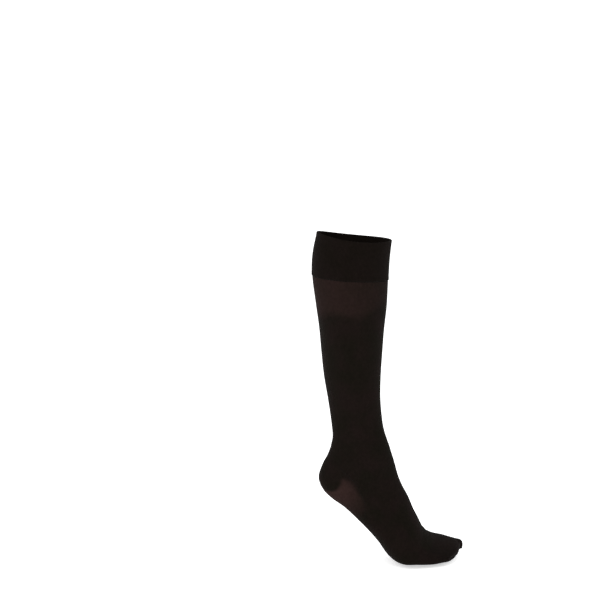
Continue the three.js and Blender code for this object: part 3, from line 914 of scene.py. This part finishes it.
# %% The linking line of the welt
LINKING_UP = 0.3  # millimetres above the lower edge of the band
LINKING_PROUD = 0.35  # millimetres out from the single knit
LINKING_LEAN = 0.45  # how much the stitches face down, as a share of how much they face out
LINKING_POINTS = 400
round_turns = np.linspace(0, 2 * math.pi, LINKING_POINTS, endpoint=False)
link_points, link_normals = on_knit(STATION["band_foot"] - LINKING_UP, round_turns, LINKING_PROUD)
downward = knit_point(STATION["band_foot"] + 1, round_turns) - knit_point(STATION["band_foot"], round_turns)
link_normals = link_normals + LINKING_LEAN * downward / np.linalg.norm(downward, axis=-1, keepdims=True)
linking = sew(
    "welt_linking",
    [(link_points, link_normals, True)],
    seed=3,
    Pitch=0.0021,
    Stitch_length=0.0026,
    Thread_width=0.0005,
    Arch=0.00045,
    Slant=math.radians(72),
)

# %% The gore lines of the heel
GORE_INSET = 2  # the stitches stop this far before the ends of the pouch, in millimetres
GORE_PROUD = 0.02
GORE_POINTS = 160
gore_stations = np.linspace(STATION["heel_top"] + GORE_INSET, STATION["waist"] - GORE_INSET, GORE_POINTS)
gores = []
for side in (1, -1):
    gore_points, gore_normals = on_knit(gore_stations, side * heel_turn(gore_stations), GORE_PROUD)
    gores.append((gore_points, gore_normals, False))
gore = sew(
    "heel_gore_lines",
    gores,
    seed=5,
    Pitch=0.0024,
    Stitch_length=0.0022,
    Thread_width=0.0005,
    Arch=0.00035,
    Slant=math.radians(30),
)

# %% The seam of the toe
seam_columns = np.arange(-COLUMNS // 4 + 1, COLUMNS // 4)
end_ring = grid_outer[-1]
seam_points = (end_ring[seam_columns % COLUMNS] + end_ring[(COLUMNS // 2 - seam_columns) % COLUMNS]) / 2
seam_normals = np.tile([1.0, 0.0, 0.0], (len(seam_points), 1))
toe_seam = sew(
    "toe_seam_stitches",
    [(seam_points, seam_normals, False)],
    seed=7,
    Pitch=0.0015,
    Stitch_length=0.0032,
    Thread_width=0.0005,
    Arch=0.0004,
    Slant=math.radians(78),
)

# %% [markdown]
# ## Joining the pieces to the model
#
# The stocking has no joints, so every piece rides on the one body. Each knitted piece stands for its node,
# and says how large its cloth is before it is stretched.

# %% Ride and replace
ROOT = "root"
for piece, node, slot in (
    (band, "top_band", "band_knit"),
    (leg, "leg", "leg_knit"),
    (heel, "heel", "heel_knit"),
    (foot, "foot", "foot_knit"),
    (toe, "toe", "toe_knit"),
):
    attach(piece, ROOT)
    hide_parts(node)
for piece, slot in ((linking, "band_knit"), (gore, "heel_knit"), (toe_seam, "toe_knit")):
    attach(piece, ROOT)

# %% Size of the cloth of each piece before it is stretched
FLAT = [
    # piece, flat width round the tube and flat length in metres, flat area in square metres, what is sewn on
    (band, 0.245, 0.057, 0.0139, [linking]),
    (leg, 0.235, 0.268, 0.0540, []),
    (heel, 0.098, 0.082, 0.0070, [gore]),
    (foot, 0.190, 0.118, 0.0216, []),
    (toe, 0.172, 0.056, 0.0082, [toe_seam]),
]
for piece, width, length, area, sewn_on in FLAT:
    worn = sum(face.area for face in piece.data.polygons) / 2
    print(f"{piece.name}: worn {worn:.4f} m2, relaxed {area:.4f} m2, stretch {worn / area:.2f}")

# %% [markdown]
# ## Floor, light and camera
#
# The ball of the foot stands on a plain white light table: a sheet of opal acrylic that glows a little, as
# used for cut-out product pictures, so the ground is white and the shadow stays faint. One broad soft light
# stands in front, and two weaker ones graze the sides, so that black cloth still shows its roundness. The
# camera stands where the photograph was taken from.

# %% Floor
FLOOR_RADIUS = 60.0  # metres, so that its edge lies past the horizon of every view
FLOOR_CLEAR = 0.0008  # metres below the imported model, because the finer knit reaches a little lower
bpy.ops.mesh.primitive_circle_add(vertices=96, radius=FLOOR_RADIUS, fill_type="NGON")
floor = bpy.context.object
floor.name = "studio_floor"
floor.data.transform(Matrix.Translation((0, 0, cad_box[0][2] - FLOOR_CLEAR)))
table = bpy.data.materials.new("Opal_acrylic_light_table")
table.use_nodes = True
table_shader = table.node_tree.nodes["Principled BSDF"]
table_shader.inputs["Base Color"].default_value = linear("#f2f2f2")
table_shader.inputs["Roughness"].default_value = 0.95
table_shader.inputs["Specular IOR Level"].default_value = 0.1
table_shader.inputs["Emission Color"].default_value = linear("#ffffff")
table_shader.inputs["Emission Strength"].default_value = 0.55
floor.data.materials.append(table)

# %% Light
world = bpy.data.worlds.new("White_studio")
world.use_nodes = True
world.node_tree.nodes["Background"].inputs["Color"].default_value = (1, 1, 1, 1)
world.node_tree.nodes["Background"].inputs["Strength"].default_value = 1.0
bpy.context.scene.world = world
LIGHTS_AIM = Vector((0, 0, -0.25))  # about the middle of the stocking
LIGHTS = [
    # name, place, side in metres, watts
    ("key_light", (-1.1, -1.9, 1.7), 1.6, 24),
    ("graze_front", (1.9, 0.8, 0.5), 1.2, 7),
    ("graze_back", (-1.9, 0.9, 0.5), 1.2, 5),
]
for light_name, place, side, watts in LIGHTS:
    lamp = bpy.data.lights.new(light_name, "AREA")
    lamp.size, lamp.energy = side, watts
    light = bpy.data.objects.new(light_name, lamp)
    bpy.context.scene.collection.objects.link(light)
    light.location = place
    light.rotation_euler = (LIGHTS_AIM - Vector(place)).to_track_quat("-Z", "Y").to_euler()

# The plain view keeps the white ground and the blacks as they are mixed.
bpy.context.scene.view_settings.view_transform = "Standard"

# %% Camera
CAMERA_AZIMUTH = math.radians(-8.0)  # turned a little toward the back of the leg
CAMERA_ELEVATION = math.radians(8.5)
CAMERA_DISTANCE = 3.383  # metres
CAMERA_TARGET = Vector((-0.075998, -0.002629, -0.088192))  # what lies in the middle of the picture
CAMERA_LENS = 145.0  # millimetres on a sensor 36 mm wide, a long lens, as such pictures are taken with
away = Vector(
    (
        math.sin(CAMERA_AZIMUTH) * math.cos(CAMERA_ELEVATION),
        -math.cos(CAMERA_AZIMUTH) * math.cos(CAMERA_ELEVATION),
        math.sin(CAMERA_ELEVATION),
    )
)
lens = bpy.data.cameras.new("photo_camera")
lens.lens = CAMERA_LENS
lens.sensor_width = 36.0
camera = bpy.data.objects.new("photo_camera", lens)
bpy.context.scene.collection.objects.link(camera)
camera.location = CAMERA_TARGET + away * CAMERA_DISTANCE
camera.rotation_euler = away.to_track_quat("Z", "Y").to_euler()
bpy.context.scene.camera = camera
print("camera at", [round(v, 4) for v in camera.location])
